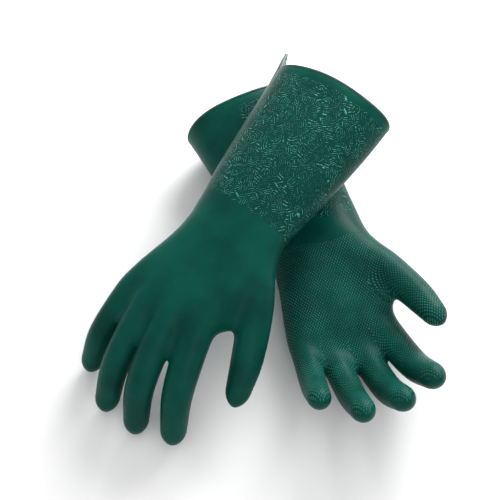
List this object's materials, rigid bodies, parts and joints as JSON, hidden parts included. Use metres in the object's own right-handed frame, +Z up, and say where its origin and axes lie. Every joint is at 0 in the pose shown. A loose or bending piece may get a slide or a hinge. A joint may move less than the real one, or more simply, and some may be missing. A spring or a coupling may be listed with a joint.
{
  "type": "long-cuff gardening gloves",
  "caption": "Pair of long-cuffed dipped rubber gardening gloves with jointed fingers, one lying palm up and the other crossed over it palm down.",
  "frame": {"origin": "middle of the floor area that the crossed pair covers", "axes": "+Z up from the floor, +Y from the fingertips towards the cuff mouths, +X from the right glove's fingers to the left glove's"},
  "size_m": [0.2962, 0.331, 0.1358],
  "materials": {
    "cuff_rubber": "satin, finely embossed",
    "hand_rubber": "satin",
    "finger_rubber": "satin, raised grip on the palm side",
    "rim_bead": "satin",
    "cotton_lining": "knitted cotton"
  },
  "bodies": {
    "left_glove": {"left_cuff": "cuff_rubber", "left_cuff_lining": "cotton_lining", "left_bead": "rim_bead", "left_hand": "hand_rubber", "left_hand_lining": "cotton_lining", "left_index_root_fold": "finger_rubber", "left_middle_root_fold": "finger_rubber", "left_ring_root_fold": "finger_rubber", "left_little_root_fold": "finger_rubber", "left_thumb_root_fold": "finger_rubber"},
    "right_glove": {"right_cuff": "cuff_rubber", "right_cuff_lining": "cotton_lining", "right_bead": "rim_bead", "right_hand": "hand_rubber", "right_hand_lining": "cotton_lining", "right_index_root_fold": "finger_rubber", "right_middle_root_fold": "finger_rubber", "right_ring_root_fold": "finger_rubber", "right_little_root_fold": "finger_rubber", "right_thumb_root_fold": "finger_rubber"},
    "right_index_lower": {"right_index_lower": "finger_rubber", "right_index_middle_fold": "finger_rubber"},
    "right_index_tip": {"right_index_tip": "finger_rubber"},
    "right_middle_lower": {"right_middle_lower": "finger_rubber", "right_middle_middle_fold": "finger_rubber"},
    "right_middle_tip": {"right_middle_tip": "finger_rubber"},
    "right_ring_lower": {"right_ring_lower": "finger_rubber", "right_ring_middle_fold": "finger_rubber"},
    "right_ring_tip": {"right_ring_tip": "finger_rubber"},
    "right_little_lower": {"right_little_lower": "finger_rubber", "right_little_middle_fold": "finger_rubber"},
    "right_little_tip": {"right_little_tip": "finger_rubber"},
    "right_thumb_lower": {"right_thumb_lower": "finger_rubber", "right_thumb_middle_fold": "finger_rubber"},
    "right_thumb_tip": {"right_thumb_tip": "finger_rubber"},
    "left_index_lower": {"left_index_lower": "finger_rubber", "left_index_middle_fold": "finger_rubber"},
    "left_index_tip": {"left_index_tip": "finger_rubber"},
    "left_middle_lower": {"left_middle_lower": "finger_rubber", "left_middle_middle_fold": "finger_rubber"},
    "left_middle_tip": {"left_middle_tip": "finger_rubber"},
    "left_ring_lower": {"left_ring_lower": "finger_rubber", "left_ring_middle_fold": "finger_rubber"},
    "left_ring_tip": {"left_ring_tip": "finger_rubber"},
    "left_little_lower": {"left_little_lower": "finger_rubber", "left_little_middle_fold": "finger_rubber"},
    "left_little_tip": {"left_little_tip": "finger_rubber"},
    "left_thumb_lower": {"left_thumb_lower": "finger_rubber", "left_thumb_middle_fold": "finger_rubber"},
    "left_thumb_tip": {"left_thumb_tip": "finger_rubber"}
  },
  "joints": [
    {"name": "lift_off", "type": "slide", "parent": "left_glove", "child": "right_glove", "axis": [0, 0, 1], "range_m": [0, 0.2]},
    {"name": "right_index_bend", "type": "hinge", "parent": "right_glove", "child": "right_index_lower", "pos_m": [-0.05908, -0.11796, 0.06142], "axis": [0.8914, -0.4347, 0.1285], "range_deg": [-14, 28], "stiffness_Nm_per_rad": 0.06, "deforming": ["right_index_root_fold"]},
    {"name": "right_index_curl", "type": "hinge", "parent": "right_index_lower", "child": "right_index_tip", "pos_m": [-0.06619, -0.13794, 0.04314], "axis": [0.8914, -0.4347, 0.1285], "range_deg": [-14, 28], "stiffness_Nm_per_rad": 0.03, "deforming": ["right_index_middle_fold"]},
    {"name": "right_middle_bend", "type": "hinge", "parent": "right_glove", "child": "right_middle_lower", "pos_m": [-0.08608, -0.11116, 0.06166], "axis": [0.8479, -0.5173, 0.1161], "range_deg": [-14, 35], "stiffness_Nm_per_rad": 0.06, "deforming": ["right_middle_root_fold"]},
    {"name": "right_middle_curl", "type": "hinge", "parent": "right_middle_lower", "child": "right_middle_tip", "pos_m": [-0.09528, -0.13034, 0.04345], "axis": [0.8479, -0.5173, 0.1161], "range_deg": [-14, 35], "stiffness_Nm_per_rad": 0.03, "deforming": ["right_middle_middle_fold"]},
    {"name": "right_ring_bend", "type": "hinge", "parent": "right_glove", "child": "right_ring_lower", "pos_m": [-0.10584, -0.09352, 0.05706], "axis": [0.7825, -0.6148, 0.0991], "range_deg": [-14, 35], "stiffness_Nm_per_rad": 0.06, "deforming": ["right_ring_root_fold"]},
    {"name": "right_ring_curl", "type": "hinge", "parent": "right_ring_lower", "child": "right_ring_tip", "pos_m": [-0.11741, -0.11121, 0.0387], "axis": [0.7825, -0.6148, 0.0991], "range_deg": [-14, 35], "stiffness_Nm_per_rad": 0.03, "deforming": ["right_ring_middle_fold"]},
    {"name": "right_little_bend", "type": "hinge", "parent": "right_glove", "child": "right_little_lower", "pos_m": [-0.11719, -0.0673, 0.05377], "axis": [0.6728, -0.7362, 0.073], "range_deg": [-14, 35], "stiffness_Nm_per_rad": 0.06, "deforming": ["right_little_root_fold"]},
    {"name": "right_little_curl", "type": "hinge", "parent": "right_little_lower", "child": "right_little_tip", "pos_m": [-0.12987, -0.08061, 0.03638], "axis": [0.6728, -0.7362, 0.073], "range_deg": [-14, 35], "stiffness_Nm_per_rad": 0.03, "deforming": ["right_little_middle_fold"]},
    {"name": "right_thumb_bend", "type": "hinge", "parent": "right_glove", "child": "right_thumb_lower", "pos_m": [-0.008, -0.09172, 0.06364], "axis": [0.7377, 0.1531, -0.6575], "range_deg": [-10, 20], "stiffness_Nm_per_rad": 0.06, "deforming": ["right_thumb_root_fold"]},
    {"name": "right_thumb_curl", "type": "hinge", "parent": "right_thumb_lower", "child": "right_thumb_tip", "pos_m": [-0.01292, -0.11389, 0.05317], "axis": [0.7377, 0.1531, -0.6575], "range_deg": [-10, 20], "stiffness_Nm_per_rad": 0.03, "deforming": ["right_thumb_middle_fold"]},
    {"name": "left_index_bend", "type": "hinge", "parent": "left_glove", "child": "left_index_lower", "pos_m": [0.11025, -0.08669, 0.02563], "axis": [-0.8875, -0.4596, -0.0338], "range_deg": [-14, 28], "stiffness_Nm_per_rad": 0.06, "deforming": ["left_index_root_fold"]},
    {"name": "left_index_curl", "type": "hinge", "parent": "left_index_lower", "child": "left_index_tip", "pos_m": [0.1211, -0.10866, 0.0392], "axis": [-0.8875, -0.4596, -0.0338], "range_deg": [-14, 28], "stiffness_Nm_per_rad": 0.03, "deforming": ["left_index_middle_fold"]},
    {"name": "left_middle_bend", "type": "hinge", "parent": "left_glove", "child": "left_middle_lower", "pos_m": [0.08946, -0.10357, 0.01982], "axis": [-0.9216, -0.3872, -0.0269], "range_deg": [-14, 35], "stiffness_Nm_per_rad": 0.06, "deforming": ["left_middle_root_fold"]},
    {"name": "left_middle_curl", "type": "hinge", "parent": "left_middle_lower", "child": "left_middle_tip", "pos_m": [0.09872, -0.12651, 0.03294], "axis": [-0.9216, -0.3872, -0.0269], "range_deg": [-14, 35], "stiffness_Nm_per_rad": 0.03, "deforming": ["left_middle_middle_fold"]},
    {"name": "left_ring_bend", "type": "hinge", "parent": "left_glove", "child": "left_ring_lower", "pos_m": [0.06384, -0.10998, 0.02167], "axis": [-0.9576, -0.2876, -0.0174], "range_deg": [-14, 35], "stiffness_Nm_per_rad": 0.06, "deforming": ["left_ring_root_fold"]},
    {"name": "left_ring_curl", "type": "hinge", "parent": "left_ring_lower", "child": "left_ring_tip", "pos_m": [0.07077, -0.13385, 0.03456], "axis": [-0.9576, -0.2876, -0.0174], "range_deg": [-14, 35], "stiffness_Nm_per_rad": 0.03, "deforming": ["left_ring_middle_fold"]},
    {"name": "left_little_bend", "type": "hinge", "parent": "left_glove", "child": "left_little_lower", "pos_m": [0.03595, -0.10475, 0.02525], "axis": [-0.9911, -0.1331, -0.0029], "range_deg": [-14, 35], "stiffness_Nm_per_rad": 0.06, "deforming": ["left_little_root_fold"]},
    {"name": "left_little_curl", "type": "hinge", "parent": "left_little_lower", "child": "left_little_tip", "pos_m": [0.03887, -0.12672, 0.03745], "axis": [-0.9911, -0.1331, -0.0029], "range_deg": [-14, 35], "stiffness_Nm_per_rad": 0.03, "deforming": ["left_little_middle_fold"]},
    {"name": "left_thumb_bend", "type": "hinge", "parent": "left_glove", "child": "left_thumb_lower", "pos_m": [0.1154, -0.03265, 0.04048], "axis": [-0.2989, -0.5259, -0.7963], "range_deg": [-10, 20], "stiffness_Nm_per_rad": 0.06, "deforming": ["left_thumb_root_fold"]},
    {"name": "left_thumb_curl", "type": "hinge", "parent": "left_thumb_lower", "child": "left_thumb_tip", "pos_m": [0.12809, -0.05257, 0.04866], "axis": [-0.2989, -0.5259, -0.7963], "range_deg": [-10, 20], "stiffness_Nm_per_rad": 0.03, "deforming": ["left_thumb_middle_fold"]}
  ],
  "couplings": [
    {"joint": "right_index_curl", "follows": "right_index_bend", "ratio": 1},
    {"joint": "right_middle_curl", "follows": "right_middle_bend", "ratio": 1},
    {"joint": "right_ring_curl", "follows": "right_ring_bend", "ratio": 1},
    {"joint": "right_little_curl", "follows": "right_little_bend", "ratio": 1},
    {"joint": "right_thumb_curl", "follows": "right_thumb_bend", "ratio": 1},
    {"joint": "left_index_curl", "follows": "left_index_bend", "ratio": 1},
    {"joint": "left_middle_curl", "follows": "left_middle_bend", "ratio": 1},
    {"joint": "left_ring_curl", "follows": "left_ring_bend", "ratio": 1},
    {"joint": "left_little_curl", "follows": "left_little_bend", "ratio": 1},
    {"joint": "left_thumb_curl", "follows": "left_thumb_bend", "ratio": 1}
  ]
}
